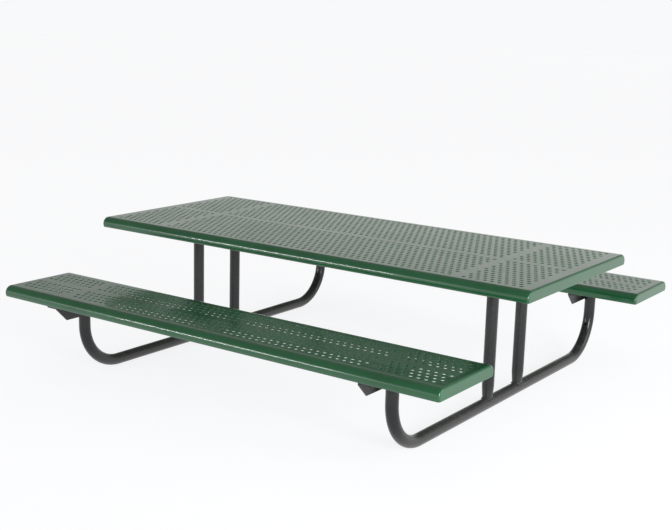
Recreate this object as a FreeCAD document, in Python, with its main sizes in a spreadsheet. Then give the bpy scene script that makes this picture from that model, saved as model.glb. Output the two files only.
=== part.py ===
import FreeCAD, Part
import math
import os
import Sketcher

os.makedirs("parts", exist_ok=True)

Vector = FreeCAD.Vector
Rotation = FreeCAD.Rotation
Placement = FreeCAD.Placement

doc = FreeCAD.newDocument("PicnicTable")

# Child size picnic table: X runs along the table, Y across it towards the back seat, Z up.
# The origin is on the ground under the middle of the tabletop. Everything is in millimetres.
sheet = doc.addObject("Spreadsheet::Sheet", "Sizes")
sizes = [
    ("tableLength", 1828.8, "tabletop, end to end"),
    ("tableWidth", 762, "tabletop, over both rolled edges"),
    ("tableHeight", 500, "ground to the top of the tabletop"),
    ("seatLength", 1803.4, "seat, end to end"),
    ("seatWidth", 317.5, "seat, over both rolled edges"),
    ("seatHeight", 315, "ground to the top of a seat"),
    ("seatOffset", 711.2, "middle of the table to the middle of a seat"),
    ("sheetGauge", 3, "coated steel sheet"),
    ("rollRadius", 25.4, "outside radius of the rolled long edges"),
    ("skirtDepth", 38.1, "depth of a deck over its edges"),
    ("foldRadius", 8, "outside radius of the end folds"),
    ("holePitch", 25.4, "perforation, along and between the rows"),
    ("holeDiameter", 12.7, "perforation"),
    ("lastColumn", 68, "half pitches from the middle to the last column of holes"),
    ("bandColumn", 50, "half pitches from the middle to each plain cross band"),
    ("tableRows", 13, "rows of holes each side of the tabletop's plain middle line"),
    ("seatRows", 4, "rows of holes each side of a seat's plain middle line"),
    ("ribGauge", 5, "flat bar under the plain middle line"),
    ("ribDepth", 25, "flat bar under the plain middle line"),
    ("channelWidth", 38, "deck cross channel, along the table"),
    ("tubeDiameter", 41.3, "frame tube"),
    ("tubeWall", 3, "frame tube"),
    ("frameOffset", 656, "middle of the table to the plane of a frame"),
    ("legOffset", 110, "middle of the table to a leg"),
    ("footDiameter", 32, "outside of a leg's swaged foot, at the runner's middle line"),
    ("footLength", 60, "runner's middle line to the end of the taper"),
    ("postOffset", 717, "middle of the table to a seat post"),
    ("bendRadius", 160, "frame tube bend, to the tube's middle line"),
    ("angleSize", 50.8, "support angle, both flanges"),
    ("angleGauge", 4.8, "support angle"),
    ("angleClip", 43, "clipped corner of the hanging flange"),
    ("tableAngleLength", 420, "support angle under the tabletop"),
    ("seatAngleLength", 306, "support angle under a seat"),
    ("ventDiameter", 9, "drain and hanging hole through a back seat post"),
    ("ventHeight", 133, "ground to the middle of the drain hole"),
    ("boltDiameter", 8, "deck bolts"),
    ("boltClearance", 8.6, "bolt holes"),
    ("boltLine", 648, "middle of the table to the line of the bolts"),
    ("headWidth", 13, "bolt heads and nuts, across flats"),
    ("headDepth", 5.3, "bolt heads"),
    ("nutDepth", 6.5, "nuts"),
    ("washerDiameter", 16, "washers"),
    ("washerGauge", 1.6, "washers"),
    ("tableBoltOffset", 175, "middle of the table to a tabletop bolt"),
    ("seatBoltOffset", 100, "middle of a seat to a seat bolt"),
]
for row, (alias, number, note) in enumerate(sizes, start=1):
    sheet.set("A%d" % row, alias)
    sheet.set("B%d" % row, str(number))
    sheet.set("C%d" % row, note)
    sheet.setAlias("B%d" % row, alias)
doc.recompute()


def size(alias):
    return float(sheet.get(alias))


def cells(text):
    """Put the sheet's name in front of every alias used in an expression."""
    words = {alias for alias, number, note in sizes}
    out, word = "", ""
    for char in text + " ":
        if char.isalnum() and (char.isalpha() or word):
            word += char
            continue
        out += ("Sizes." + word if word in words else word) + char
        word = ""
    return out.strip()


def add(kind, name, base=("0", "0", "0"), turn=None, **properties):
    """A primitive or boolean whose sizes and position are bound to the sheet."""
    item = doc.addObject(kind, name)
    if turn:
        item.Placement = Placement(Vector(), turn)
    for key, value in properties.items():
        if isinstance(value, str):
            item.setExpression(key, cells(value))
        else:
            setattr(item, key, value)
    for axis, value in zip("xyz", base):
        if value != "0":
            item.setExpression("Placement.Base." + axis, cells(value))
    return item


nodes = []


def node(item, label):
    item.Label = label
    nodes.append(item)
    return item


alongX = Rotation(Vector(0, 1, 0), 90)
alongY = Rotation(Vector(1, 0, 0), -90)


def endEdges(item, radius):
    """The top and side edges of both ends of a deck block, for the end folds."""
    box = item.Shape.BoundBox
    found = []
    for number, edge in enumerate(item.Shape.Edges, start=1):
        edgeBox = edge.BoundBox
        flat = edgeBox.XLength < 0.01
        atEnd = min(abs(edgeBox.XMin - box.XMin), abs(edgeBox.XMax - box.XMax)) < 0.01
        onBottom = edgeBox.ZMax < box.ZMin + 0.01
        if flat and atEnd and not onBottom:
            found.append((number, radius, radius))
    return found


def deckBlock(name, length, width, height, middle, radius, depth, fold):
    """A solid block with both long edges rolled under and both ends folded."""
    core = add("Part::Box", name + "_core",
               ("-(%s) / 2" % length, "%s - (%s) / 2 + rollRadius" % (middle, width),
                "%s - (%s)" % (height, depth)),
               Length=length, Width="%s - 2 * rollRadius" % width, Height=depth)
    rolls = []
    for side, sign in (("front", "-"), ("back", "+")):
        line = "%s %s ((%s) / 2 - rollRadius)" % (middle, sign, width)
        rolls.append(add("Part::Cylinder", "%s_%s_roll" % (name, side),
                         ("-(%s) / 2" % length, line, "%s - (%s)" % (height, radius)),
                         alongX, Radius=radius, Height=length))
    joined = add("Part::MultiFuse", name + "_joined", Shapes=[core] + rolls, Refine=True)
    trim = add("Part::Box", name + "_trim",
               ("-(%s) / 2" % length, "%s - (%s) / 2" % (middle, width),
                "%s - (%s)" % (height, depth)),
               Length=length, Width=width, Height=depth)
    block = add("Part::Common", name + "_block", Base=joined, Tool=trim, Refine=True)
    doc.recompute()
    folded = add("Part::Fillet", name, Base=block)
    folded.Edges = endEdges(block, fold)
    doc.recompute()
    return folded


def slab(name, low, high):
    """A box between two corners given as expressions."""
    return add("Part::Box", name, low,
               Length="(%s) - (%s)" % (high[0], low[0]),
               Width="(%s) - (%s)" % (high[1], low[1]),
               Height="(%s) - (%s)" % (high[2], low[2]))


def perforated(name, length, width, height, middle, rows):
    """Flat sheet of staggered round holes: thousands of holes, so it is one extruded face."""
    halfPitch = size("holePitch") / 2
    flatX = size(length) / 2 - size("foldRadius")
    flatY = size(width) / 2 - size("rollRadius")
    top = size(height)
    corners = [(-flatX, -flatY), (flatX, -flatY), (flatX, flatY), (-flatX, flatY)]
    outline = [Vector(x, middle + y, top) for x, y in corners]
    wires = [Part.makePolygon(outline + outline[:1])]
    last = int(size("lastColumn"))
    band = int(size("bandColumn"))
    for row in range(-rows, rows + 1):
        for column in range(-last, last + 1):
            staggered = (row + column) % 2 == 1
            plain = row == 0 or abs(abs(column) - band) <= 1
            if staggered and not plain:
                centre = Vector(column * halfPitch, middle + row * size("holePitch"), top)
                # a hole's wire runs the other way round from the outline's
                hole = Part.Circle(centre, Vector(0, 0, -1), size("holeDiameter") / 2)
                wires.append(Part.Wire(hole.toShape()))
    face = Part.Face(wires)
    item = doc.addObject("Part::Feature", name)
    item.Shape = face.extrude(Vector(0, 0, -size("sheetGauge")))
    return item


def makeDeck(name, length, width, height, middle, rows):
    """One deck: perforated sheet, two rolled long edges, two folded ends, cross channels."""
    outer = deckBlock(name + "_outer", length, width, height, middle,
                      "rollRadius", "skirtDepth", size("foldRadius"))
    inner = deckBlock(name + "_inner", "(%s - 2 * sheetGauge)" % length, width,
                      "(%s - sheetGauge)" % height, middle,
                      "(rollRadius - sheetGauge)", "(skirtDepth - sheetGauge + 1)",
                      size("foldRadius") - size("sheetGauge"))
    shell = add("Part::Cut", name + "_shell", Base=outer, Tool=inner)
    bottom = "%s - skirtDepth" % height
    for side, sign in (("front", "-"), ("back", "")):
        flat = "%s + %s((%s) / 2 - rollRadius)" % (middle, sign, width)
        edge = "%s + %s(%s) / 2" % (middle, sign, width)
        near, far = (edge, flat) if side == "front" else (flat, edge)
        part = slab("%s_%s_slice" % (name, side),
                    ("-(%s) / 2 + foldRadius" % length, near, bottom),
                    ("(%s) / 2 - foldRadius" % length, far, height))
        rolled = add("Part::Common", "%s_%s_rolled" % (name, side), Base=shell, Tool=part)
        node(rolled, "%s_%s_rolled_edge" % (name, side))
    for side, sign in (("left", "-"), ("right", "")):
        inward = "%s((%s) / 2 - foldRadius)" % (sign, length)
        end = "%s(%s) / 2" % (sign, length)
        near, far = (end, inward) if side == "left" else (inward, end)
        part = slab("%s_%s_slice" % (name, side),
                    (near, "%s - (%s) / 2" % (middle, width), bottom),
                    (far, "%s + (%s) / 2" % (middle, width), height))
        cap = add("Part::Common", "%s_%s_cap" % (name, side), Base=shell, Tool=part)
        node(cap, "%s_%s_end_cap" % (name, side))
    centre = {"0": 0, "-seatOffset": -size("seatOffset"), "seatOffset": size("seatOffset")}
    panel = perforated(name + "_panel", length, width, height, centre[middle], rows)
    node(panel, name + "_perforated_panel")


def makeRib(name, height, middle):
    """Flat bar on edge under the plain middle line, between the cross channels."""
    reach = "(bandColumn * holePitch / 2 - channelWidth / 2)"
    rib = slab(name + "_bar",
               ("-" + reach, "%s - ribGauge / 2" % middle,
                "%s - sheetGauge - ribDepth" % height),
               (reach, "%s + ribGauge / 2" % middle, "%s - sheetGauge" % height))
    node(rib, name + "_centre_rib")


def boltHoles(name, item, spots, low, high):
    """Drill bolt holes straight down through an item."""
    tools = []
    for number, (x, y) in enumerate(spots):
        tools.append(add("Part::Cylinder", "%s_drill%d" % (name, number), (x, y, low),
                         Radius="boltClearance / 2", Height="(%s) - (%s)" % (high, low)))
    drills = add("Part::Compound", name + "_drills", Links=tools)
    return add("Part::Cut", name + "_drilled", Base=item, Tool=drills)


def makeChannel(name, sign, width, height, middle, boltOffset):
    """Cross channel under a plain band, as deep as the skirt, open outboard."""
    line = "bandColumn * holePitch / 2"
    low = "%s - skirtDepth" % height
    high = "%s - sheetGauge" % height
    start = "%s - (%s) / 2 + rollRadius" % (middle, width)
    finish = "%s + (%s) / 2 - rollRadius" % (middle, width)
    inboard = "(%s - channelWidth / 2)" % line
    outboard = "(%s + channelWidth / 2)" % line
    if sign < 0:
        block = slab(name + "_block", ("-" + outboard, start, low), ("-" + inboard, finish, high))
        space = slab(name + "_space", ("-%s - 1" % outboard, start, "%s + sheetGauge" % low),
                     ("-%s - sheetGauge" % inboard, finish, "%s - sheetGauge" % high))
    else:
        block = slab(name + "_block", (inboard, start, low), (outboard, finish, high))
        space = slab(name + "_space", ("%s + sheetGauge" % inboard, start, "%s + sheetGauge" % low),
                     ("%s + 1" % outboard, finish, "%s - sheetGauge" % high))
    channel = add("Part::Cut", name + "_channel", Base=block, Tool=space)
    x = "%d * boltLine" % sign
    spots = [(x, "%s - %s" % (middle, boltOffset)), (x, "%s + %s" % (middle, boltOffset))]
    drilled = boltHoles(name, channel, spots, "%s - 1" % low, "%s + sheetGauge + 1" % low)
    node(drilled, name)


def makeAngle(name, sign, length, height, middle, boltOffset):
    """Support angle: flat flange under the deck skirts, hanging flange with clipped ends."""
    top = "(%s - skirtDepth)" % height
    inner = "(frameOffset - tubeDiameter / 2)"
    half = "(%s) / 2" % length
    near = "%s - angleGauge" % inner
    far = "%s - angleGauge + angleSize" % inner
    if sign < 0:
        near, far = "-(%s)" % far, "-(%s)" % near
    flat = slab(name + "_flat", (near, "%s - %s" % (middle, half), "%s - angleGauge" % top),
                (far, "%s + %s" % (middle, half), top))
    hanging = add("Part::Wedge", name + "_hanging",
                  (far + " - angleGauge" if sign < 0 else near, middle, "%s - angleSize" % top),
                  Rotation(Vector(1, 0, 0), 90),
                  Xmin=0, Xmax="angleGauge", X2min=0, X2max="angleGauge",
                  Ymin=0, Ymax="angleClip",
                  Zmin="-(%s - angleClip)" % half, Zmax="%s - angleClip" % half,
                  Z2min="-" + half, Z2max=half)
    strip = slab(name + "_strip",
                 (far + " - angleGauge" if sign < 0 else near, "%s - %s" % (middle, half),
                  "%s - angleSize + angleClip" % top),
                 (far if sign < 0 else near + " + angleGauge", "%s + %s" % (middle, half),
                  "%s - angleGauge" % top))
    angle = add("Part::MultiFuse", name + "_angle", Shapes=[flat, hanging, strip], Refine=True)
    x = "%d * boltLine" % sign
    spots = [(x, "%s - %s" % (middle, boltOffset)), (x, "%s + %s" % (middle, boltOffset))]
    drilled = boltHoles(name, angle, spots, "%s - angleGauge - 1" % top, "%s + 1" % top)
    node(drilled, name)


def makeBaseTube(name, sign):
    """One tube bent up at both ends: seat post, bend, runner on the ground, bend, seat post."""
    post = size("postOffset")
    bend = size("bendRadius")
    radius = size("tubeDiameter") / 2
    top = size("seatHeight") - size("skirtDepth") - size("angleGauge")
    body = doc.addObject("PartDesign::Body", name + "_body")
    path = body.newObject("Sketcher::SketchObject", name + "_path")
    planes = {item.Role: item for item in body.Origin.OriginFeatures}
    path.AttachmentSupport = (planes["YZ_Plane"], [""])
    path.MapMode = "FlatFace"
    path.setExpression("AttachmentOffset.Base.z", cells("%d * frameOffset" % sign))
    low = radius + bend
    points = [(-post, top), (-post, low), (bend - post, radius), (post - bend, radius),
              (post, low), (post, top)]
    lines = [path.addGeometry(Part.LineSegment(Vector(*points[i], 0), Vector(*points[i + 1], 0)))
             for i in (0, 2, 4)]
    arcs = []
    for centreX, start in ((bend - post, math.pi), (post - bend, 1.5 * math.pi)):
        circle = Part.Circle(Vector(centreX, low, 0), Vector(0, 0, 1), bend)
        arcs.append(path.addGeometry(Part.ArcOfCircle(circle, start, start + math.pi / 2)))
    rules = [
        Sketcher.Constraint("Tangent", lines[0], 2, arcs[0], 1),
        Sketcher.Constraint("Tangent", arcs[0], 2, lines[1], 1),
        Sketcher.Constraint("Tangent", lines[1], 2, arcs[1], 1),
        Sketcher.Constraint("Tangent", arcs[1], 2, lines[2], 1),
        Sketcher.Constraint("Vertical", lines[0]),
        Sketcher.Constraint("Horizontal", lines[1]),
        Sketcher.Constraint("Vertical", lines[2]),
        Sketcher.Constraint("Equal", arcs[0], arcs[1]),
    ]
    for rule in rules:
        path.addConstraint(rule)
    driven = [
        (Sketcher.Constraint("Radius", arcs[0], bend), "bendRadius"),
        (Sketcher.Constraint("DistanceY", -1, 1, lines[1], 1, radius), "tubeDiameter / 2"),
        (Sketcher.Constraint("DistanceX", lines[0], 1, -1, 1, post), "postOffset"),
        (Sketcher.Constraint("DistanceX", -1, 1, lines[2], 2, post), "postOffset"),
        (Sketcher.Constraint("DistanceY", -1, 1, lines[0], 1, top),
         "seatHeight - skirtDepth - angleGauge"),
        (Sketcher.Constraint("DistanceY", -1, 1, lines[2], 2, top),
         "seatHeight - skirtDepth - angleGauge"),
    ]
    for rule, formula in driven:
        number = path.addConstraint(rule)
        path.setExpression("Constraints[%d]" % number, cells(formula))
    ring = body.newObject("Sketcher::SketchObject", name + "_ring")
    ring.AttachmentSupport = (planes["XY_Plane"], [""])
    ring.MapMode = "FlatFace"
    ring.setExpression("AttachmentOffset.Base.x", cells("%d * frameOffset" % sign))
    ring.setExpression("AttachmentOffset.Base.y", cells("-postOffset"))
    ring.setExpression("AttachmentOffset.Base.z", cells("seatHeight - skirtDepth - angleGauge"))
    for number, formula in enumerate(("tubeDiameter / 2", "tubeDiameter / 2 - tubeWall")):
        start = radius - number * size("tubeWall")
        circle = ring.addGeometry(Part.Circle(Vector(), Vector(0, 0, 1), start))
        ring.addConstraint(Sketcher.Constraint("Coincident", circle, 3, -1, 1))
        rule = ring.addConstraint(Sketcher.Constraint("Radius", circle, start))
        ring.setExpression("Constraints[%d]" % rule, cells(formula))
    doc.recompute()
    pipe = body.newObject("PartDesign::AdditivePipe", name + "_pipe")
    pipe.Profile = ring
    pipe.Spine = (path, ["Edge1", "Edge4", "Edge2", "Edge5", "Edge3"])
    doc.recompute()
    vent = add("Part::Cylinder", name + "_vent",
               ("%d * frameOffset" % sign, "postOffset - 2 * tubeDiameter", "ventHeight"),
               alongY, Radius="ventDiameter / 2", Height="3 * tubeDiameter")
    node(add("Part::Cut", name + "_cut", Base=body, Tool=vent), name)


def makeLeg(name, sign, way):
    """Straight leg, its foot swaged and coped to sit on the runner, its head under an angle."""
    x = "%d * frameOffset" % sign
    y = "%slegOffset" % way
    foot = "tubeDiameter / 2"
    rise = "tableHeight - skirtDepth - angleGauge - tubeDiameter / 2 - footLength"
    skins = []
    for skin, wall in (("outside", "0"), ("inside", "tubeWall")):
        taper = add("Part::Cone", "%s_%s_taper" % (name, skin), (x, y, foot),
                    Radius1="footDiameter / 2 - " + wall, Radius2="tubeDiameter / 2 - " + wall,
                    Height="footLength")
        straight = add("Part::Cylinder", "%s_%s_straight" % (name, skin),
                       (x, y, foot + " + footLength"),
                       Radius="tubeDiameter / 2 - " + wall, Height=rise)
        skins.append(add("Part::Fuse", "%s_%s" % (name, skin), Base=taper, Tool=straight))
    tube = add("Part::Cut", name + "_tube", Base=skins[0], Tool=skins[1])
    runner = add("Part::Cylinder", name + "_runner",
                 (x, "%s - 2 * tubeDiameter" % y, foot), alongY,
                 Radius="tubeDiameter / 2", Height="4 * tubeDiameter")
    node(add("Part::Cut", name + "_coped", Base=tube, Tool=runner), name)


def hexagon(name, base, depth):
    prism = add("Part::Prism", name, base, Circumradius="headWidth / 2 / cos(30)", Height=depth)
    prism.Polygon = 6
    return prism


def makeFasteners(name, spots, height):
    """Bolts up through the support angles and channels, each with a washer and a nut."""
    flange = "%s - skirtDepth" % height
    under = "%s - angleGauge - washerGauge" % flange
    bolts, nuts, washers = [], [], []
    for number, (x, y) in enumerate(spots):
        tag = "%s_%d" % (name, number)
        head = hexagon(tag + "_head", (x, y, "%s - headDepth" % under), "headDepth")
        shank = add("Part::Cylinder", tag + "_shank", (x, y, under),
                    Radius="boltDiameter / 2",
                    Height="washerGauge + angleGauge + sheetGauge + nutDepth + 2")
        bolts.append(add("Part::Fuse", tag + "_bolt", Base=head, Tool=shank))
        block = hexagon(tag + "_hex", (x, y, "%s + sheetGauge" % flange), "nutDepth")
        bore = add("Part::Cylinder", tag + "_bore", (x, y, flange),
                   Radius="boltDiameter / 2", Height="2 * nutDepth")
        nuts.append(add("Part::Cut", tag + "_nut", Base=block, Tool=bore))
        disc = add("Part::Cylinder", tag + "_disc", (x, y, under),
                   Radius="washerDiameter / 2", Height="washerGauge")
        eye = add("Part::Cylinder", tag + "_eye", (x, y, under),
                  Radius="boltDiameter / 2", Height="2 * washerGauge")
        washers.append(add("Part::Cut", tag + "_washer", Base=disc, Tool=eye))
    node(add("Part::Compound", name + "_all_bolts", Links=bolts), name + "_bolts")
    node(add("Part::Compound", name + "_all_nuts", Links=nuts), name + "_nuts")
    node(add("Part::Compound", name + "_all_washers", Links=washers), name + "_washers")


tableRows = int(size("tableRows"))
seatRows = int(size("seatRows"))
makeDeck("tabletop", "tableLength", "tableWidth", "tableHeight", "0", tableRows)
makeRib("tabletop", "tableHeight", "0")
seats = (("front_seat", "-seatOffset"), ("back_seat", "seatOffset"))
for seat, middle in seats:
    makeDeck(seat, "seatLength", "seatWidth", "seatHeight", middle, seatRows)
    makeRib(seat, "seatHeight", middle)
for side, sign in (("left", -1), ("right", 1)):
    makeChannel("tabletop_%s_cross_channel" % side, sign, "tableWidth", "tableHeight", "0",
                "tableBoltOffset")
    makeAngle("%s_frame_table_support_angle" % side, sign, "tableAngleLength", "tableHeight",
              "0", "tableBoltOffset")
    for seat, middle in seats:
        makeChannel("%s_%s_cross_channel" % (seat, side), sign, "seatWidth", "seatHeight",
                    middle, "seatBoltOffset")
        makeAngle("%s_frame_%s_support_angle" % (side, seat), sign, "seatAngleLength",
                  "seatHeight", middle, "seatBoltOffset")
    makeBaseTube("%s_frame_base_tube" % side, sign)
    makeLeg("%s_frame_front_leg" % side, sign, "-")
    makeLeg("%s_frame_back_leg" % side, sign, "")

lines = ("-boltLine", "boltLine")
makeFasteners("tabletop", [(x, y + "tableBoltOffset") for x in lines for y in ("-", "")],
              "tableHeight")
makeFasteners("seat", [(x, "%s %s seatBoltOffset" % (middle, way))
                       for x in lines for seat, middle in seats for way in ("-", "+")],
              "seatHeight")

doc.recompute()

for item in doc.Objects:
    broken = [state for state in item.State if state in ("Invalid", "Error")]
    if broken:
        raise RuntimeError("%s is %s" % (item.Name, broken))
for item in nodes:
    if item.Shape.isNull() or not item.Shape.isValid():
        raise RuntimeError("%s has no valid shape" % item.Label)
    if not item.Shape.Solids:
        raise RuntimeError("%s has no solid" % item.Label)
for item in nodes:
    item.Shape.exportStep("parts/%s.step" % item.Label)
    print(item.Label, len(item.Shape.Solids), "solid", round(item.Shape.Volume), "mm3")
print(len(nodes), "nodes")
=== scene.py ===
import math
import bmesh
import bpy
from mathutils import Matrix, Vector


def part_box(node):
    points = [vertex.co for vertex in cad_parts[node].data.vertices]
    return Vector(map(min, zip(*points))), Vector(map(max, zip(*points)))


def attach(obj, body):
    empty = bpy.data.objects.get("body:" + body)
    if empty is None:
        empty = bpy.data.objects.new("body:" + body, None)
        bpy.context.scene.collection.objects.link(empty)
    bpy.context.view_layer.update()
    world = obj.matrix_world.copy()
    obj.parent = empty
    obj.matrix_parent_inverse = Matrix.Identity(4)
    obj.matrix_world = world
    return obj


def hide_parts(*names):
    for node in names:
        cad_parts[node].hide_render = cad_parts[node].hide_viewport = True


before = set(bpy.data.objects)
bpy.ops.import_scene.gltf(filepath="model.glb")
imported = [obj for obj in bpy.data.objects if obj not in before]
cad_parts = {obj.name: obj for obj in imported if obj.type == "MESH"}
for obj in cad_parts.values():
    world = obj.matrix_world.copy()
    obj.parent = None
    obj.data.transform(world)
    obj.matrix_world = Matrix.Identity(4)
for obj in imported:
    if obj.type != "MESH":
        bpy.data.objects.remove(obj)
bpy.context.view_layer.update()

up = Vector((0, 0, 1))
scene = bpy.context.scene
print("frame loaded:", len(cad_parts), "nodes")


cameraSetup = {
    "place": (2.3917, -3.4866, 1.3135),
    "yaw": -0.6139,  # radians, turned left of the table's width
    "pitch": 0.2167,  # looking down
    "roll": 0.0277,
    "lens": 62.19,
    "sensor": 36,
    "farClip": 200,
}


def makeCamera(setup):
    yaw, pitch, roll = setup["yaw"], setup["pitch"], setup["roll"]
    ahead = Vector((math.sin(yaw) * math.cos(pitch), math.cos(yaw) * math.cos(pitch), -math.sin(pitch)))
    level = ahead.cross(up).normalized()
    upright = level.cross(ahead)
    side = level * math.cos(roll) + upright * math.sin(roll)
    top = upright * math.cos(roll) - level * math.sin(roll)
    camera = bpy.data.objects.new("camera", bpy.data.cameras.new("camera"))
    camera.data.lens = setup["lens"]
    camera.data.sensor_width = setup["sensor"]
    camera.data.clip_end = setup["farClip"]
    turn = Matrix((side, top, -ahead)).transposed()
    camera.matrix_world = Matrix.Translation(setup["place"]) @ turn.to_4x4()
    scene.collection.objects.link(camera)
    scene.camera = camera


def nodeGroup(name, inputs, outputs):
    group = bpy.data.node_groups.new(name, "ShaderNodeTree")
    for label, value in inputs.items():
        socket = group.interface.new_socket(label, in_out="INPUT", socket_type="NodeSocketFloat")
        socket.default_value = value
    for label in outputs:
        group.interface.new_socket(label, in_out="OUTPUT", socket_type="NodeSocketFloat")
    start = group.nodes.new("NodeGroupInput")
    finish = group.nodes.new("NodeGroupOutput")
    return group, start, finish


# one link, or a plain value when the source is a number
def wire(tree, source, target):
    if hasattr(source, "is_output"):
        tree.links.new(source, target)
    else:
        target.default_value = source


def arithmetic(tree, operation, first, second=0.0, clamp=False):
    step = tree.nodes.new("ShaderNodeMath")
    step.operation = operation
    step.use_clamp = clamp
    wire(tree, first, step.inputs[0])
    wire(tree, second, step.inputs[1])
    return step.outputs[0]


def cloud(tree, place, scale, detail=2.0, rough=0.5):
    noise = tree.nodes.new("ShaderNodeTexNoise")
    wire(tree, place, noise.inputs["Vector"])
    wire(tree, scale, noise.inputs["Scale"])
    noise.inputs["Detail"].default_value = detail
    noise.inputs["Roughness"].default_value = rough
    return noise.outputs["Fac"]


def spread(tree, source, low, high, newLow=0.0, newHigh=1.0):
    step = tree.nodes.new("ShaderNodeMapRange")
    wire(tree, source, step.inputs["Value"])
    for label, value in (("From Min", low), ("From Max", high), ("To Min", newLow), ("To Max", newHigh)):
        wire(tree, value, step.inputs[label])
    return step.outputs["Result"]


lightSetup = {
    # height of the direction, from straight down to straight up, and brightness
    "sky": ((0.0, 0.90), (0.50, 0.955), (0.515, 0.955), (0.54, 0.84), (0.60, 0.79), (0.68, 0.30),
            (1.0, 0.27)),
    "tintHeight": 0.52,  # the sky's own tint starts here
    "levelTint": (0.985, 0.99, 1.0),
    "skyTint": (0.98, 1.0, 0.965),
    "brightWay": (0.853, -0.243),  # the room is brighter in this direction on plan
    "brightSpan": (-0.80, -0.35),
    "brightRange": (0.80, 1.25),
    "levelBand": (0.02, 0.05),  # kept even just above the horizon
    "softboxes": {
        # place, aim, width, height, power in watts, colour
        "keyRight": ((5.0, 1.6, 1.6), (0.6, 0, 0.3), 3.0, 2.2, 60, (1.0, 0.99, 0.97)),
        "fillRight": ((4.8, -2.4, 1.5), (0.9, -0.2, 0.4), 1.6, 1.6, 150, (0.95, 0.98, 1.0)),
        "farWindow": ((-7.05, -9.7, 2.3), (0, -0.4, 0.45), 2.9, 0.28, 190, (1.0, 1.0, 1.0)),
    },
    "view": "Standard",
}


def makeLights(setup):
    scene.view_settings.view_transform = setup["view"]
    world = bpy.data.worlds.new("studio")
    world.use_nodes = True
    tree = world.node_tree
    sky = tree.nodes["Background"]
    compass = tree.nodes.new("ShaderNodeTexCoord")
    split = tree.nodes.new("ShaderNodeSeparateXYZ")
    ramp = tree.nodes.new("ShaderNodeValToRGB")
    for number, (height, bright) in enumerate(setup["sky"]):
        stops = ramp.color_ramp.elements
        stop = stops[number] if number < 2 else stops.new(height)
        stop.position = height
        tint = setup["skyTint" if height > setup["tintHeight"] else "levelTint"]
        stop.color = (*[bright * part for part in tint], 1)
    wire(tree, compass.outputs["Generated"], split.inputs[0])
    wire(tree, spread(tree, split.outputs["Z"], -1.0, 1.0), ramp.inputs["Fac"])
    wire(tree, ramp.outputs["Color"], sky.inputs["Color"])
    wayX = arithmetic(tree, "MULTIPLY", split.outputs["X"], setup["brightWay"][0])
    wayY = arithmetic(tree, "MULTIPLY", split.outputs["Y"], setup["brightWay"][1])
    along = arithmetic(tree, "ADD", wayX, wayY)
    facing = spread(tree, along, *setup["brightSpan"], *setup["brightRange"])
    lifted = spread(tree, split.outputs["Z"], *setup["levelBand"])
    change = arithmetic(tree, "MULTIPLY", arithmetic(tree, "SUBTRACT", facing, 1.0), lifted)
    wire(tree, arithmetic(tree, "ADD", change, 1.0), sky.inputs["Strength"])
    scene.world = world
    for name, (place, aim, width, height, power, tint) in setup["softboxes"].items():
        lamp = bpy.data.lights.new(name, "AREA")
        lamp.shape = "RECTANGLE"
        lamp.size, lamp.size_y = width, height
        lamp.energy = power
        lamp.color = tint
        holder = bpy.data.objects.new(name, lamp)
        holder.location = place
        holder.rotation_euler = (Vector(aim) - Vector(place)).to_track_quat("-Z", "Y").to_euler()
        scene.collection.objects.link(holder)


makeCamera(cameraSetup)
makeLights(lightSetup)
print("camera and lights ready")


peelEffect = {
    "inputs": {"Wave Scale": 90.0, "Pebble Scale": 420.0, "Pebble": 0.4},
    "wave": {"detail": 1.0},
    "pebble": {"detail": 2.0, "rough": 0.6},
    "patchScale": 5.5,
    "patch": {"detail": 3.0, "rough": 0.6},
    "patchSpan": (0.3, 0.7),
}


# the slow waviness and fine pebble that a baked coating sets with
def makeOrangePeel(effect):
    group, start, finish = nodeGroup("orangePeel", effect["inputs"], ("Height", "Patch"))
    place = group.nodes.new("ShaderNodeTexCoord").outputs["Object"]
    wave = cloud(group, place, start.outputs["Wave Scale"], **effect["wave"])
    pebble = cloud(group, place, start.outputs["Pebble Scale"], **effect["pebble"])
    fine = arithmetic(group, "MULTIPLY", pebble, start.outputs["Pebble"])
    wire(group, arithmetic(group, "ADD", wave, fine), finish.inputs["Height"])
    patch = cloud(group, place, effect["patchScale"], **effect["patch"])
    wire(group, spread(group, patch, *effect["patchSpan"]), finish.inputs["Patch"])
    return group


edgeEffect = {
    "inputs": {"Sharpness": 0.06, "Breakup": 0.5},
    "patchyEdgeScale": 60.0,
    "worn": {"detail": 4.0, "rough": 0.65},
    "patchyEdgeSpan": (0.35, 0.65),
    "flat": 0.5,  # pointiness of a flat face
    "edgeStart": 0.505,
    "hollowSpan": (0.495, 0.44),
}


# masks of outer edges, where a coating pulls thin and rubs first and a painted highlight is laid, and of
# inner corners, where painted shade is laid
def makeEdgeWearHighlightShade(effect):
    group, start, finish = nodeGroup("edgeWearHighlightShade", effect["inputs"], ("Edge", "Hollow"))
    geometry = group.nodes.new("ShaderNodeNewGeometry")
    place = group.nodes.new("ShaderNodeTexCoord").outputs["Object"]
    worn = cloud(group, place, effect["patchyEdgeScale"], **effect["worn"])
    top = arithmetic(group, "ADD", effect["flat"], start.outputs["Sharpness"])
    edge = spread(group, geometry.outputs["Pointiness"], effect["edgeStart"], top)
    broken = spread(group, worn, *effect["patchyEdgeSpan"])
    kept = arithmetic(group, "MULTIPLY", broken, start.outputs["Breakup"])
    whole = arithmetic(group, "SUBTRACT", 1.0, start.outputs["Breakup"])
    share = arithmetic(group, "ADD", kept, whole)
    wire(group, arithmetic(group, "MULTIPLY", edge, share), finish.inputs["Edge"])
    hollowed = spread(group, geometry.outputs["Pointiness"], *effect["hollowSpan"])
    wire(group, hollowed, finish.inputs["Hollow"])
    return group


dustEffect = {
    "inputs": {"Amount": 0.1, "Ground": 0.3},
    "upwardSpan": (0.2, 1.0),  # height of the normal
    "speckScale": 38.0,
    "speck": {"detail": 6.0, "rough": 0.7},
    "speckSpan": (0.4, 0.75),
    "splashHeight": 0.09,
}


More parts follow.
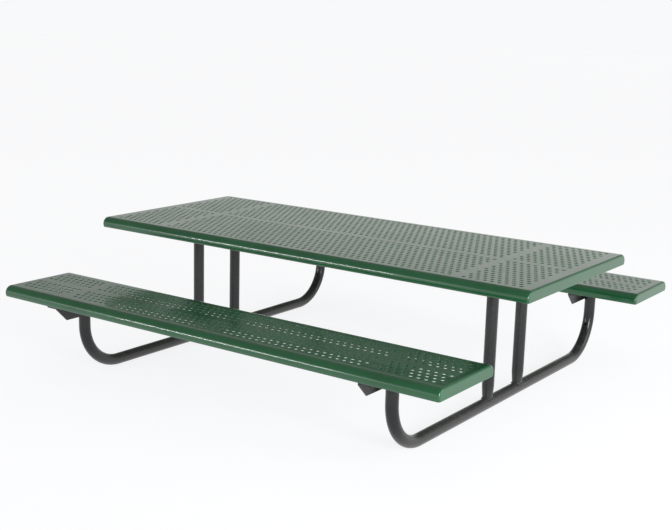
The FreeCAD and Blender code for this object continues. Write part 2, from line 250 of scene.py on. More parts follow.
# fine dust that settles on what faces up, a little more near the ground
def makeDust(effect):
    group, start, finish = nodeGroup("settledDust", effect["inputs"], ("Mask",))
    geometry = group.nodes.new("ShaderNodeNewGeometry")
    normal = group.nodes.new("ShaderNodeSeparateXYZ")
    place = group.nodes.new("ShaderNodeSeparateXYZ")
    wire(group, geometry.outputs["Normal"], normal.inputs[0])
    wire(group, geometry.outputs["Position"], place.inputs[0])
    upward = spread(group, normal.outputs["Z"], *effect["upwardSpan"])
    speck = cloud(group, geometry.outputs["Position"], effect["speckScale"], **effect["speck"])
    lying = arithmetic(group, "MULTIPLY", upward, spread(group, speck, *effect["speckSpan"]))
    low = spread(group, place.outputs["Z"], effect["splashHeight"], 0.0)
    splash = arithmetic(group, "MULTIPLY", low, start.outputs["Ground"])
    both = arithmetic(group, "ADD", lying, splash)
    both = arithmetic(group, "MULTIPLY", both, start.outputs["Amount"], True)
    wire(group, both, finish.inputs["Mask"])
    return group


orangePeel = makeOrangePeel(peelEffect)
edgeWearHighlightShade = makeEdgeWearHighlightShade(edgeEffect)
settledDust = makeDust(dustEffect)


def placeGroup(tree, group, **values):
    node = tree.nodes.new("ShaderNodeGroup")
    node.node_tree = group
    for label, value in values.items():
        node.inputs[label.replace("_", " ")].default_value = value
    return node


def blendColour(tree, share, first, second):
    mix = tree.nodes.new("ShaderNodeMix")
    mix.data_type = "RGBA"
    wire(tree, share, mix.inputs[0])
    for socket, colour in ((mix.inputs[6], first), (mix.inputs[7], second)):
        if isinstance(colour, tuple):
            socket.default_value = (*colour, 1)
        else:
            tree.links.new(colour, socket)
    return mix.outputs[2]


# one baked coating: colour that drifts, edges lighter by wear and a painted highlight, inner corners
# darker by painted shade, dust, orange peel
def coating(name, look):
    material = bpy.data.materials.new(name)
    material.use_nodes = True
    tree = material.node_tree
    shader = tree.nodes["Principled BSDF"]
    peel = placeGroup(tree, orangePeel, Wave_Scale=look["waveScale"], Pebble_Scale=look["pebbleScale"],
                      Pebble=look["pebble"])
    edge = placeGroup(tree, edgeWearHighlightShade, Sharpness=look["edgeSharpness"], Breakup=look["edgeBreakup"])
    dust = placeGroup(tree, settledDust, Amount=look["dust"], Ground=look["groundDust"])
    body = blendColour(tree, peel.outputs["Patch"], look["deep"], look["light"])
    # outer edges lighter: partly wear, partly painted highlight
    edgeWearAndHighlight = arithmetic(tree, "MULTIPLY", edge.outputs["Edge"], look["edgeShare"])
    body = blendColour(tree, edgeWearAndHighlight, body, look["edge"])
    # inner corners darker: painted shade
    paintedHollowShade = arithmetic(tree, "MULTIPLY", edge.outputs["Hollow"], look["hollowShadeShare"])
    body = blendColour(tree, paintedHollowShade, body, look["hollow"])
    body = blendColour(tree, dust.outputs["Mask"], body, look["dustColour"])
    wire(tree, body, shader.inputs["Base Color"])
    smooth, rough = look["roughness"]
    base = spread(tree, peel.outputs["Patch"], 0.0, 1.0, smooth, rough)
    dulled = arithmetic(tree, "MULTIPLY", dust.outputs["Mask"], look["dustRoughness"])
    wire(tree, arithmetic(tree, "ADD", base, dulled), shader.inputs["Roughness"])
    shader.inputs["Metallic"].default_value = look["metallic"]
    shader.inputs["Coat Weight"].default_value = look["coat"]
    shader.inputs["Coat Roughness"].default_value = look["coatRoughness"]
    shader.inputs["Specular IOR Level"].default_value = look["specular"]
    bump = tree.nodes.new("ShaderNodeBump")
    bump.inputs["Strength"].default_value = look["bump"]
    bump.inputs["Distance"].default_value = look["bumpDepth"]
    wire(tree, peel.outputs["Height"], bump.inputs["Height"])
    wire(tree, bump.outputs["Normal"], shader.inputs["Normal"])
    return material


greenLook = {
    "deep": (0.005, 0.072, 0.023),
    "light": (0.007, 0.090, 0.030),
    # edge: lighter colour on outer edges, partly wear and partly painted highlight
    "edge": (0.018, 0.140, 0.056),
    # hollow: darker colour for inner corners, painted shade
    "hollow": (0.003, 0.050, 0.017),
    "edgeShare": 0.35,
    "hollowShadeShare": 0.5,
    "edgeSharpness": 0.10,
    "edgeBreakup": 0.4,
    "dust": 0.03,
    "groundDust": 0.0,
    "dustColour": (0.42, 0.42, 0.38),
    "dustRoughness": 0.5,
    "roughness": (0.20, 0.27),
    "metallic": 0.0,
    "coat": 0.5,
    "coatRoughness": 0.05,
    "specular": 0.42,
    "waveScale": 70.0,
    "pebbleScale": 380.0,
    "pebble": 0.35,
    "bump": 0.05,
    "bumpDepth": 0.0012,
}
blackLook = dict(
    greenLook,
    deep=(0.010, 0.010, 0.0115),
    light=(0.015, 0.015, 0.017),
    # edge: lighter colour on outer edges, partly wear and partly painted highlight
    edge=(0.07, 0.07, 0.068),
    # hollow: darker colour for inner corners, painted shade
    hollow=(0.010, 0.010, 0.010),
    roughness=(0.17, 0.23),
    specular=0.37,
    coat=0.0,
    dust=0.10,
    groundDust=0.8,
    waveScale=120.0,
    pebbleScale=700.0,
    pebble=0.8,
    bump=0.16,
)
zincLook = dict(
    greenLook,
    deep=(0.46, 0.46, 0.44),
    light=(0.62, 0.62, 0.60),
    # edge: lighter colour on outer edges, partly wear and partly painted highlight
    edge=(0.80, 0.80, 0.78),
    # hollow: darker colour for inner corners, painted shade
    hollow=(0.20, 0.19, 0.17),
    roughness=(0.30, 0.46),
    metallic=1.0,
    coat=0.0,
    dust=0.05,
    waveScale=300.0,
    pebbleScale=1500.0,
    bump=0.12,
)
greenCoating = coating("greenCoating", greenLook)
blackFrame = coating("blackFrame", blackLook)
zincFasteners = coating("zincFasteners", zincLook)


floorLook = {
    "reach": 40,
    "dark": (0.24, 0.24, 0.243),
    "pale": (0.26, 0.26, 0.263),
    "fibreScale": 9.0,
    "fibreDetail": 3.0,
    "roughness": 0.9,
    "specular": 0.1,
    "glow": (0.985, 0.985, 1.0),
    "glowStrength": 0.845,
}


def makeFloor():
    reach = floorLook["reach"]
    corners = [(-reach, -reach, 0), (reach, -reach, 0), (reach, reach, 0), (-reach, reach, 0)]
    mesh = bpy.data.meshes.new("floor")
    mesh.from_pydata(corners, [], [(0, 1, 2, 3)])
    floor = bpy.data.objects.new("floor", mesh)
    scene.collection.objects.link(floor)
    paper = bpy.data.materials.new("paper")
    paper.use_nodes = True
    tree = paper.node_tree
    shader = tree.nodes["Principled BSDF"]
    where = tree.nodes.new("ShaderNodeTexCoord").outputs["Object"]
    fibre = cloud(tree, where, floorLook["fibreScale"], floorLook["fibreDetail"])
    paperTint = blendColour(tree, fibre, floorLook["dark"], floorLook["pale"])
    wire(tree, paperTint, shader.inputs["Base Color"])
    shader.inputs["Roughness"].default_value = floorLook["roughness"]
    shader.inputs["Specular IOR Level"].default_value = floorLook["specular"]
    shader.inputs["Emission Color"].default_value = (*floorLook["glow"], 1)
    shader.inputs["Emission Strength"].default_value = floorLook["glowStrength"]
    mesh.materials.append(paper)


makeFloor()
print("materials and floor ready")


pieceFinish = {"merge": 1e-6, "sharpAngle": 50, "normalWeight": 80}


# mesh, weighted normals, material and body for one piece; the solids it stands for are hidden
def finishPiece(name, points, faces, material, replaced=(), sharpAngle=pieceFinish["sharpAngle"]):
    mesh = bpy.data.meshes.new(name)
    mesh.from_pydata(points, [], faces)
    work = bmesh.new()
    work.from_mesh(mesh)
    bmesh.ops.remove_doubles(work, verts=work.verts, dist=pieceFinish["merge"])
    bmesh.ops.recalc_face_normals(work, faces=work.faces)
    work.to_mesh(mesh)
    work.free()
    mesh.shade_smooth()
    mesh.set_sharp_from_angle(angle=math.radians(sharpAngle))
    mesh.materials.append(material)
    piece = bpy.data.objects.new(name, mesh)
    scene.collection.objects.link(piece)
    weigh = piece.modifiers.new("faceWeight", "WEIGHTED_NORMAL")
    weigh.keep_sharp = True
    weigh.weight = pieceFinish["normalWeight"]
    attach(piece, "root")
    if replaced:
        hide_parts(*replaced)
    return piece


# quads between two closed rings of point numbers
def joinRings(faces, first, second):
    count = len(first)
    for i in range(count):
        j = (i + 1) % count
        faces.append((first[i], first[j], second[j], second[i]))


deckShape = {
    "pitch": 0.0254,
    "holeRadius": 0.00635,
    "rimRound": 0.0008,
    "holeSides": 16,
    "lastColumn": 68,  # half pitches
    "bandColumn": 50,
    "rollSteps": 14,
    "foldSteps": 6,
    "hemSteps": 4,
}
deckRows = {"tabletop": 13, "front_seat": 4, "back_seat": 4}
deckNames = {"tabletop": "tabletopDeck", "front_seat": "frontSeatDeck", "back_seat": "backSeatDeck"}


# sizes of one deck, read from its solids
def deckSizes(deck):
    low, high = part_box(deck + "_perforated_panel")
    sizes = {"flatX": high.x, "middle": (low.y + high.y) / 2, "flatY": (high.y - low.y) / 2}
    sizes["top"] = high.z
    sizes["gauge"] = high.z - low.z
    sizes["end"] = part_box(deck + "_right_end_cap")[1].x
    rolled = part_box(deck + "_back_rolled_edge")
    sizes["roll"] = rolled[1].y - sizes["middle"] - sizes["flatY"]
    sizes["bottom"] = rolled[0].z
    return sizes


def makeDeck(deck):
    shape, s = deckShape, deckSizes(deck)
    half = shape["pitch"] / 2
    rows = deckRows[deck]
    points, faces, known = [], [], {}

    # number of the point here, made once; places agree when they round to the same micrometre
    def spot(x, y, z):
        key = (round(x * 1e6), round(y * 1e6), round(z * 1e6))
        if key not in known:
            known[key] = len(points)
            points.append((x, s["middle"] + y, z))
        return known[key]

    # staggered holes as (half pitches along, half pitches across), none on the plain lines
    holes = set()
    for row in range(-rows, rows + 1):
        for column in range(-shape["lastColumn"], shape["lastColumn"] + 1):
            plain = row == 0 or abs(abs(column) - shape["bandColumn"]) <= 1
            if (row + column) % 2 and not plain:
                holes.add((column, 2 * row))

    # flat sheet in squares of half a pitch, left open round the holes
    lastX, lastY = shape["lastColumn"] + 2, 2 * rows + 1
    xs = [-s["flatX"]] + [i * half for i in range(-lastX, lastX + 1)] + [s["flatX"]]
    ys = [-s["flatY"]] + [i * half for i in range(-lastY, lastY + 1)] + [s["flatY"]]
    under = s["top"] - s["gauge"]
    for a in range(len(xs) - 1):
        for b in range(len(ys) - 1):
            i, j = a - 1 - lastX, b - 1 - lastY
            if holes & {(i, j), (i + 1, j), (i, j + 1), (i + 1, j + 1)}:
                continue
            for z in (s["top"], under):
                faces.append((spot(xs[a], ys[b], z), spot(xs[a + 1], ys[b], z),
                              spot(xs[a + 1], ys[b + 1], z), spot(xs[a], ys[b + 1], z)))

    # each hole: rounded rim, wall, rounded lower rim
    around = ((1, 0), (1, 1), (0, 1), (-1, 1), (-1, 0), (-1, -1), (0, -1), (1, -1))
    radius, rim, sides = shape["holeRadius"], shape["rimRound"], shape["holeSides"]
    soft = rim * (1 - math.sqrt(0.5))
    levels = ((radius + rim, s["top"]), (radius + soft, s["top"] - soft), (radius, s["top"] - rim),
              (radius, under + rim), (radius + soft, under + soft), (radius + rim, under))
    angles = [2 * math.pi * n / sides for n in range(sides)]
    for i, j in sorted(holes):
        x, y = i * half, j * half
        rings = []
        for reach, z in levels:
            start = len(points)
            for angle in angles:
                placeY = s["middle"] + y + reach * math.sin(angle)
                points.append((x + reach * math.cos(angle), placeY, z))
            rings.append(list(range(start, start + sides)))
        for upper, lower in zip(rings, rings[1:]):
            joinRings(faces, upper, lower)
        for ring, z in ((rings[0], s["top"]), (rings[-1], under)):
            corners = [spot((i + di) * half, (j + dj) * half, z) for di, dj in around]
            for n in range(len(around)):
                here, there = corners[n], corners[(n + 1) % len(around)]
                first, second, third = ring[2 * n], ring[2 * n + 1], ring[(2 * n + 2) % sides]
                faces.append((here, there, third, second))
                faces.append((here, second, first))

    # stations along the deck: x and inset of the outer and inner skins
    fold, gauge = s["end"] - s["flatX"], s["gauge"]
    turns = [math.pi / 2 * n / shape["foldSteps"] for n in range(1, shape["foldSteps"] + 1)]
    folded = []
    for turn in turns:
        inner = fold - gauge
        folded.append((s["flatX"] + fold * math.sin(turn), fold * (1 - math.cos(turn)),
                       s["flatX"] + inner * math.sin(turn), gauge + inner * (1 - math.cos(turn))))
    stations = [(-outerX, a, -innerX, b) for outerX, a, innerX, b in reversed(folded)]
    stations += [(x, 0, x, gauge) for x in xs] + folded
    centreZ = s["top"] - s["roll"]
    drop = centreZ - (s["bottom"] + gauge / 2)  # from the roll's centre to the hem

    # points from the front hem over the flat to the back hem
    def across(x, inset):
        reach = s["roll"] - inset
        last = math.pi / 2 + math.asin(drop / reach)
        rolled = []
        for n in range(1, shape["rollSteps"] + 1):
            angle = last * n / shape["rollSteps"]
            rolled.append((s["flatY"] + reach * math.sin(angle), centreZ + reach * math.cos(angle)))
        line = [(-y, z) for y, z in reversed(rolled)]
        line += [(y, s["top"] - inset) for y in ys]
        line += rolled
        return [spot(x, y, z) for y, z in line]

    outer = [across(station[0], station[1]) for station in stations]
    inner = [across(station[2], station[3]) for station in stations]
    flatFirst = len(turns)
    flatLast = len(stations) - 1 - len(turns)
    for skin in (outer, inner):
        for n in range(len(stations) - 1):
            inFlat = flatFirst <= n < flatLast
            for m in range(len(skin[0]) - 1):
                onRoll = m < shape["rollSteps"] or m >= len(skin[0]) - 1 - shape["rollSteps"]
                if onRoll or not inFlat:
                    faces.append((skin[n][m], skin[n + 1][m], skin[n + 1][m + 1], skin[n][m + 1]))
        faces.append(tuple(skin[0]))
        faces.append(tuple(reversed(skin[-1])))

    # rounded hem all the way round the bottom of the skirt
    pairs = [(a[0], b[0]) for a, b in zip(outer, inner)]
    pairs += [(a[-1], b[-1]) for a, b in reversed(list(zip(outer, inner)))]
    bends = [math.pi * n / shape["hemSteps"] for n in range(1, shape["hemSteps"])]
    hems = []
    for outside, inside in pairs:
        a, b = Vector(points[outside]), Vector(points[inside])
        ring = [outside]
        for bend in bends:
            spotted = (a + b) / 2 + (a - b) / 2 * math.cos(bend) - up * gauge / 2 * math.sin(bend)
            points.append(tuple(spotted))
            ring.append(len(points) - 1)
        hems.append(ring + [inside])
    for n, ring in enumerate(hems):
        follow = hems[(n + 1) % len(hems)]
        for m in range(len(ring) - 1):
            faces.append((ring[m], follow[m], follow[m + 1], ring[m + 1]))

    parts = ("perforated_panel", "front_rolled_edge", "back_rolled_edge", "left_end_cap",
             "right_end_cap")
    piece = finishPiece(deckNames[deck], points, faces, greenCoating,
                        [deck + "_" + part for part in parts])
    print(piece.name, len(holes), "holes,", len(piece.data.vertices), "points")


for deck in deckNames:
    makeDeck(deck)


channelShape = {"bend": 0.0025, "bendSteps": 5, "edgeRound": 0.0006, "sharpAngle": 30}


# points of an arc in the x-z plane, as (x, z)
def roundCorner(centre, radius, start, sweep, steps):
    found = []
    for n in range(steps + 1):
        angle = start + sweep * n / steps
        found.append((centre[0] + radius * math.cos(angle), centre[1] + radius * math.sin(angle)))
    return found


# closed outline in x-z, carried from front to back along the width
def extrudeAcross(outline, front, back):
    count = len(outline)
    points = [(x, front, z) for x, z in outline] + [(x, back, z) for x, z in outline]
    faces = [tuple(range(count)), tuple(range(2 * count - 1, count - 1, -1))]
    joinRings(faces, list(range(count)), list(range(count, 2 * count)))
    return points, faces


# camelCase name of the piece that stands for a node
def pieceName(node):
    first, *rest = node.split("_")
    return first + "".join(word.capitalize() for word in rest)


softEdge = {"segments": 2, "sharpAngle": 50}


def softenEdges(piece, width):
    bevel = piece.modifiers.new("softEdges", "BEVEL")
    bevel.width = width
    bevel.segments = softEdge["segments"]
    bevel.limit_method = "ANGLE"
    bevel.angle_limit = math.radians(softEdge["sharpAngle"])
    bevel.harden_normals = False
    piece.modifiers.move(len(piece.modifiers) - 1, 0)


# channel of bent sheet, its open side outboard
def makeChannel(node, outboard):
    low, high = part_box(node)
    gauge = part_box("tabletop_perforated_panel")[1].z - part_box("tabletop_perforated_panel")[0].z
    bend = channelShape["bend"]
    wide, tall = high.x - low.x, high.z - low.z
    big, small = bend + gauge, bend
    quarter, steps = math.pi / 2, channelShape["bendSteps"]
    outline = [(wide, 0)]
    outline += list(reversed(roundCorner((big, big), big, math.pi, quarter, steps)))
    outline += list(reversed(roundCorner((big, tall - big), big, quarter, quarter, steps)))
    outline += [(wide, tall), (wide, tall - gauge)]
    outline += roundCorner((big, tall - big), small, quarter, quarter, steps)
    outline += roundCorner((big, big), small, math.pi, quarter, steps)
    outline += [(wide, gauge)]
    placed = []
    for x, z in outline:
        placed.append((low.x + x if outboard > 0 else high.x - x, low.z + z))
    points, faces = extrudeAcross(placed, low.y, high.y)
    piece = finishPiece(pieceName(node), points, faces, greenCoating, [node],
                        channelShape["sharpAngle"])
    softenEdges(piece, channelShape["edgeRound"])


# flat bar on edge
def makeBar(node):
    low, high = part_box(node)
    outline = [(low.x, low.z), (high.x, low.z), (high.x, high.z), (low.x, high.z)]
    points, faces = extrudeAcross(outline, low.y, high.y)
    piece = finishPiece(pieceName(node), points, faces, greenCoating, [node],
                        channelShape["sharpAngle"])
    softenEdges(piece, channelShape["edgeRound"])


for deck in deckNames:
    makeBar(deck + "_centre_rib")
    for side, outboard in (("left", -1), ("right", 1)):
        makeChannel("%s_%s_cross_channel" % (deck, side), outboard)
print("channels and bars made")


frameShape = {
    "wall": 0.003,
    "bend": 0.160,
    "sides": 48,
    "bendSteps": 22,
    "footRadius": 0.016,  # swaged foot, at the runner's middle line
    "footLength": 0.060,
    "footClear": 0.0005,  # first plain ring of a leg, above the runner's crest
    "saddleRounds": 12,
    "ventRadius": 0.0045,
    "ventHeight": 0.133,
    "ventSides": 24,
    "ventReach": 4,  # length of the cutter, in tube radii
}


# rings round a path in a plane of constant x, given as (x, y, z, direction)
def sweepTube(path, radius, sides):
    rings = []
    for x, y, z, angle in path:
        outward = Vector((0, -math.sin(angle), math.cos(angle)))
        ring = []
        for n in range(sides):
            turn = 2 * math.pi * n / sides
            away = outward * math.cos(turn) + Vector((1, 0, 0)) * math.sin(turn)
            ring.append(Vector((x, y, z)) + radius * away)
        rings.append(ring)
    return rings


# points and faces of a tube wall, open ended
def hollow(rings, innerRings):
    points, faces = [], []
    numbers = []
    for ring in rings + list(reversed(innerRings)):
        start = len(points)
        points += [tuple(p) for p in ring]
        numbers.append(list(range(start, start + len(ring))))
    for n, ring in enumerate(numbers):
        joinRings(faces, ring, numbers[(n + 1) % len(numbers)])
    return points, faces


# a round hole along the width, cut into the piece's mesh
def drillHole(piece, centre, radius, sides, reach):
    drill = bpy.data.meshes.new("drill")
    work = bmesh.new()
    turn = Matrix.Rotation(math.pi / 2, 4, "X")
    bmesh.ops.create_cone(work, cap_ends=True, segments=sides, radius1=radius, radius2=radius,
                          depth=reach, matrix=Matrix.Translation(centre) @ turn)
    work.to_mesh(drill)
    work.free()
    tool = bpy.data.objects.new("drill", drill)
    scene.collection.objects.link(tool)
    cut = piece.modifiers.new("vent", "BOOLEAN")
    cut.object = tool
    cut.operation = "DIFFERENCE"
    cut.solver = "EXACT"
    piece.modifiers.move(len(piece.modifiers) - 1, 0)
    weigh = piece.modifiers["faceWeight"]
    weigh.show_viewport = False
    graph = bpy.context.evaluated_depsgraph_get()
    done = bpy.data.meshes.new_from_object(piece.evaluated_get(graph))
    weigh.show_viewport = True
    piece.modifiers.remove(cut)
    piece.data = done
    bpy.data.objects.remove(tool)


def makeBaseTube(side):
    node = side + "_frame_base_tube"
    low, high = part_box(node)
    shape = frameShape
    x = (low.x + high.x) / 2
    radius = (high.x - low.x) / 2
    post = high.y - radius
    bend = shape["bend"]
    ground = low.z + radius
    centreZ = ground + bend
    path = [(x, -post, high.z, -math.pi / 2)]
    for n in range(shape["bendSteps"] + 1):
        angle = math.pi / 2 * n / shape["bendSteps"]
        y = bend - post - bend * math.cos(angle)
        path.append((x, y, centreZ - bend * math.sin(angle), angle - math.pi / 2))
    for n in range(shape["bendSteps"] + 1):
        angle = math.pi / 2 * n / shape["bendSteps"]
        path.append((x, post - bend + bend * math.sin(angle), centreZ - bend * math.cos(angle), angle))
    path.append((x, post, high.z, math.pi / 2))
    outerRings = sweepTube(path, radius, shape["sides"])
    innerRings = sweepTube(path, radius - shape["wall"], shape["sides"])
    points, faces = hollow(outerRings, innerRings)
    piece = finishPiece(side + "FrameTube", points, faces, blackFrame, [node])
    drillHole(piece, (x, post, shape["ventHeight"]), shape["ventRadius"], shape["ventSides"],
              shape["ventReach"] * radius)
    return x, radius, post, ground, high.z


# height at which a tapering leg meets the runner, found by going round a few times
def saddleHeight(ground, radius, legRadius, wall, turn):
    z = ground + radius
    for again in range(frameShape["saddleRounds"]):
        across = (legRadius(z) - wall) * math.cos(turn)
        z = ground + math.sqrt(radius * radius - across * across)
    return z


# straight leg, its foot swaged down and coped over the runner
def makeLeg(side, end):
    node = "%s_frame_%s_leg" % (side, end)
    low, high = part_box(node)
    x, y = (low.x + high.x) / 2, (low.y + high.y) / 2
    radius = (high.x - low.x) / 2
    shape = frameShape
    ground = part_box(side + "_frame_base_tube")[0].z + radius
    crest = ground + radius + shape["footClear"]

    def legRadius(z):
        share = min((z - ground) / shape["footLength"], 1)
        return shape["footRadius"] + (radius - shape["footRadius"]) * share

    taperEnd = ground + shape["footLength"]
    skins = []
    for wall in (0, shape["wall"]):
        rings = []
        for n in range(4):
            ring = []
            for m in range(shape["sides"]):
                turn = 2 * math.pi * m / shape["sides"]
                if n == 0:
                    z = saddleHeight(ground, radius, legRadius, wall, turn)
                else:
                    z = (crest, taperEnd, high.z)[n - 1]
                reach = legRadius(z) - wall
                ring.append((x + reach * math.cos(turn), y + reach * math.sin(turn), z))
            rings.append(ring)
        skins.append(rings)
    points, faces = hollow(skins[0], skins[1])
    name = "%sFrame%sLeg" % (side, end.capitalize())
    finishPiece(name, points, faces, blackFrame, [node])
    return x, y, radius, ground, high.z, legRadius


weldShape = {
    "size": 0.0032,
    "sides": 8,
    "steps": 96,
    "ripples": 30,
    "ripple": 0.13,
    "waves": 3,  # slow swell round a bead
    "wave": 0.08,
    "headSink": 0.0006,
    "headProud": 0.0004,
    "footRise": 0.0008,
    "footProud": 0.0006,
    "sharpAngle": 80,
}


# one closed bead with the ripples of a hand weld, round a closed centre line
def beadRing(points, faces, centreLine, phase):
    count = len(centreLine)
    rings = []
    for n, (spotted, outward, lift) in enumerate(centreLine):
        wave = math.sin(2 * math.pi * weldShape["ripples"] * n / count + phase)
        slow = math.sin(2 * math.pi * weldShape["waves"] * n / count + 2 * phase)
        size = weldShape["size"] * (1 + weldShape["ripple"] * wave + weldShape["wave"] * slow)
        start = len(points)
        for m in range(weldShape["sides"]):
            turn = 2 * math.pi * m / weldShape["sides"]
            bead = outward * size * math.cos(turn) + lift * size * math.sin(turn)
            points.append(tuple(spotted + bead))
        rings.append(list(range(start, start + weldShape["sides"])))
    for n in range(count):
        joinRings(faces, rings[n], rings[(n + 1) % count])


# fillet bead where a tube end meets a flange above it
def roundWeld(points, faces, x, y, z, radius, phase):
    line = []
    for n in range(weldShape["steps"]):
        turn = 2 * math.pi * n / weldShape["steps"]
        outward = Vector((math.cos(turn), math.sin(turn), 0))
        middle = Vector((x, y, z - weldShape["headSink"]))
        line.append((middle + outward * (radius + weldShape["headProud"]), outward, up))
    beadRing(points, faces, line, phase)


# fillet bead where a leg sits on the runner
def saddleWeld(points, faces, x, y, ground, radius, legRadius, phase):
    line = []
    for n in range(weldShape["steps"]):
        turn = 2 * math.pi * n / weldShape["steps"]
        outward = Vector((math.cos(turn), math.sin(turn), 0))
        z = saddleHeight(ground, radius, legRadius, 0, turn)
        middle = Vector((x, y, z + weldShape["footRise"]))
        line.append((middle + outward * (legRadius(z) + weldShape["footProud"]), outward, up))
    beadRing(points, faces, line, phase)


for number, side in enumerate(("left", "right")):
    points, faces = [], []
    x, radius, post, ground, head = makeBaseTube(side)
    for end in (-1, 1):
        roundWeld(points, faces, x, end * post, head, radius, number + end)
    for end in ("front", "back"):
        legX, legY, tubeRadius, legGround, legHead, legRadius = makeLeg(side, end)
        saddleWeld(points, faces, legX, legY, legGround, tubeRadius, legRadius, number + legY)
        roundWeld(points, faces, legX, legY, legHead, tubeRadius, number - legY)
    finishPiece(side + "FrameWelds", points, faces, blackFrame,
                sharpAngle=weldShape["sharpAngle"])
print("tube frames and welds made")


angleShape = {
    "gauge": 0.0048,
    "clip": 0.043,
    "root": 0.005,
    "toe": 0.0024,
    "steps": 5,
    "edgeRound": 0.0005,
    "sharpAngle": 35,
    "merge": 1e-5,  # points of the outline closer than this are one
    "hair": 1e-6,
}


# rolled steel angle: round root, round toes, hanging flange clipped at both ends
def makeAngle(node, side):
    shape = angleShape
    low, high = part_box(node)
    gauge, root, toe = shape["gauge"], shape["root"], shape["toe"]
    wide, tall = high.x - low.x, high.z - low.z
    quarter = math.pi / 2
    # x runs outboard from the hanging flange's inboard face, z up from its lower edge
    outline = [(0, 0), (0, shape["clip"]), (0, tall), (wide, tall)]
    wideToe = roundCorner((wide - toe, tall - gauge + toe), toe, -quarter, quarter, shape["steps"])
    outline += list(reversed(wideToe))
    rootZ = tall - gauge - root
    rise = shape["clip"] - rootZ  # the clipped corner starts part way down the root
    fillet = roundCorner((gauge + root, rootZ), root, quarter, quarter, shape["steps"])
    fillet.append((gauge + root - math.sqrt(root * root - rise * rise), shape["clip"]))
    outline += sorted(fillet, key=lambda spotted: -spotted[1])
    outline += list(reversed(roundCorner((gauge - toe, toe), toe, -quarter, quarter, shape["steps"])))
    cleaned = []
    for spotted in outline:
        if not cleaned or math.dist(cleaned[-1], spotted) > shape["merge"]:
            cleaned.append(spotted)
    half = (high.y - low.y) / 2
    middle = (high.y + low.y) / 2
    count = len(cleaned)
    points = []
    for end in (-1, 1):
        for x, z in cleaned:
            reach = half - max(shape["clip"] - z, 0)
            across = low.x + x if side > 0 else high.x - x
            points.append((across, middle + end * reach, low.z + z))
    faces = []
    joinRings(faces, list(range(count)), list(range(count, 2 * count)))
    upper = [n for n in range(count) if cleaned[n][1] >= shape["clip"] - shape["hair"]]
    lower = [n for n in range(count) if cleaned[n][1] <= shape["clip"] + shape["hair"]]
    for shift in (0, count):
        faces.append(tuple(n + shift for n in upper))
        faces.append(tuple(n + shift for n in lower))
    piece = finishPiece(pieceName(node), points, faces, blackFrame, [node],
                        shape["sharpAngle"])
    softenEdges(piece, shape["edgeRound"])


for side, sign in (("left", -1), ("right", 1)):
    for seat in ("table", "front_seat", "back_seat"):
        makeAngle("%s_frame_%s_support_angle" % (side, seat), sign)
print("support angles made")


fastenerShape = {
    "across": 0.013,
    "head": 0.0053,
    "nut": 0.0065,
    "shank": 0.004,  # radius
    "thread": 0.00125,  # pitch
    "washerGauge": 0.0016,
    "washerRadius": 0.008,
    "steps": 48,
    "turned": 0.94,  # chamfer's small end, in flats
    "chamfer": 30,  # degrees
    "chamferLevels": (0.0, 0.35, 0.7, 1.0),
    "threadSides": 20,
    "threadLevels": 5,  # rings to a pitch
    "threadDepth": 0.48,  # in pitches
    "tip": 0.0012,  # rounded end of the shank
    "tipRadius": 0.6,  # in shanks
    "mouth": 0.0006,  # countersink of a nut
    "washerRound": 0.0003,
    "washerClear": 0.0002,
    "sharpAngle": 28,
}


# hexagon ring cut back to a round limit
def hexRing(x, y, z, flat, limit):
    ring = []
    for n in range(fastenerShape["steps"]):
        turn = 2 * math.pi * n / fastenerShape["steps"]
        away = (turn + math.pi / 6) % (math.pi / 3) - math.pi / 6
        reach = min(flat / math.cos(away), limit)
        heading = turn + math.pi / 6
        ring.append((x + reach * math.cos(heading), y + reach * math.sin(heading), z))
    return ring


def addRings(points, faces, rings, closed=False):
    numbers = []
    for ring in rings:
        start = len(points)
        points += ring
        numbers.append(list(range(start, start + len(ring))))
    for first, second in zip(numbers, numbers[1:]):
        joinRings(faces, first, second)
    if closed:
        joinRings(faces, numbers[-1], numbers[0])
    else:
        faces.append(tuple(numbers[0]))
        faces.append(tuple(reversed(numbers[-1])))


def circle(x, y, z, radius, steps):
    turns = [2 * math.pi * n / steps for n in range(steps)]
    return [(x + radius * math.cos(turn), y + radius * math.sin(turn), z) for turn in turns]


# rings of a hexagon with the turned chamfer of a bolt head on both ends
def hexLevels(x, y, z, height, flat):
    corner = flat / math.cos(math.pi / 6)
    small = flat * fastenerShape["turned"]
    chamfer = (corner - small) * math.tan(math.radians(fastenerShape["chamfer"]))
    rings = []
    for share in fastenerShape["chamferLevels"]:
        rings.append(hexRing(x, y, z + chamfer * share, flat, small + (corner - small) * share))
    rings += [[(px, py, 2 * z + height - pz) for px, py, pz in ring] for ring in reversed(rings)]
    return rings


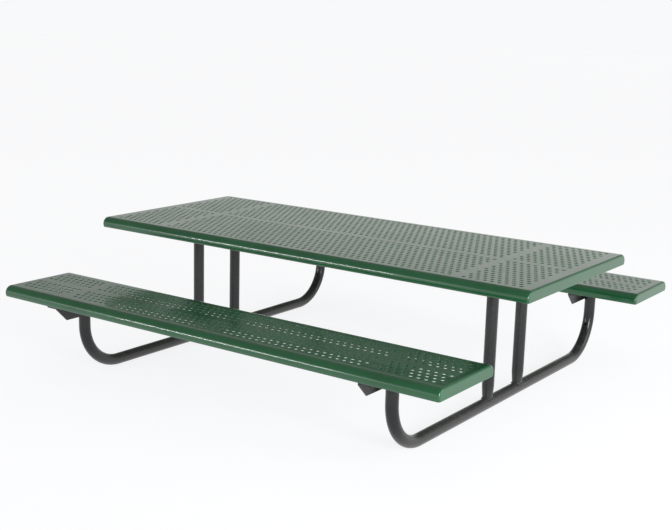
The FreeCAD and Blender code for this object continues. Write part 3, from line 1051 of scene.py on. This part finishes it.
# head under the flange, threaded shank up to the top
def addBolt(points, faces, x, y, under, top):
    shape = fastenerShape
    addRings(points, faces, hexLevels(x, y, under - shape["head"], shape["head"], shape["across"] / 2))
    pitch, sides = shape["thread"], shape["threadSides"]
    depth = shape["threadDepth"] * pitch
    levels = int((top - under) / (pitch / shape["threadLevels"]))
    rings = []
    for n in range(levels + 1):
        z = under + (top - under) * n / levels
        ring = []
        for m in range(sides):
            phase = (z / pitch - m / sides) % 1
            cut = depth * abs(2 * phase - 1)
            taper = min(1.0, (top - z) / shape["tip"] + shape["tipRadius"])
            reach = (shape["shank"] - cut) * taper
            turn = 2 * math.pi * m / sides
            ring.append((x + reach * math.cos(turn), y + reach * math.sin(turn), z))
        rings.append(ring)
    addRings(points, faces, rings)


def addNut(points, faces, x, y, z):
    shape = fastenerShape
    rings = hexLevels(x, y, z, shape["nut"], shape["across"] / 2)
    bore, steps, mouth = shape["shank"], shape["steps"], shape["mouth"]
    levels = ((shape["nut"], bore + mouth), (shape["nut"] - mouth, bore), (mouth, bore),
              (0, bore + mouth))
    shift = steps // 12  # the hexagon's rings start this far round
    inside = []
    for height, reach in levels:
        ring = circle(x, y, z + height, reach, steps)
        inside.append(ring[shift:] + ring[:shift])
    addRings(points, faces, rings + inside, True)


def addWasher(points, faces, x, y, z):
    shape = fastenerShape
    gauge, soft, wide = shape["washerGauge"], shape["washerRound"], shape["washerRadius"]
    bore = shape["shank"] + shape["washerClear"]
    levels = ((0, wide - soft), (soft, wide), (gauge - soft, wide), (gauge, wide - soft), (gauge, bore),
              (0, bore))
    rings = [circle(x, y, z + height, reach, shape["steps"]) for height, reach in levels]
    addRings(points, faces, rings, True)


def makeFasteners(group, name, middles):
    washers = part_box(group + "_washers")
    x = washers[1].x - fastenerShape["washerRadius"]
    apart = washers[1].y - fastenerShape["washerRadius"] - max(middles)
    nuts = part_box(group + "_nuts")
    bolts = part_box(group + "_bolts")
    kinds = {"Bolts": ([], []), "Nuts": ([], []), "Washers": ([], [])}
    for sign in (-1, 1):
        for middle in middles:
            for way in (-1, 1):
                y = middle + way * apart
                addBolt(*kinds["Bolts"], sign * x, y, washers[0].z, bolts[1].z)
                addNut(*kinds["Nuts"], sign * x, y, nuts[0].z)
                addWasher(*kinds["Washers"], sign * x, y, washers[0].z)
    for kind, (points, faces) in kinds.items():
        finishPiece(name + kind, points, faces, zincFasteners,
                    ["%s_%s" % (group, kind.lower())], fastenerShape["sharpAngle"])


seatMiddle = deckSizes("back_seat")["middle"]
makeFasteners("tabletop", "tabletop", [0.0])
makeFasteners("seat", "seat", [-seatMiddle, seatMiddle])
print("fasteners made")
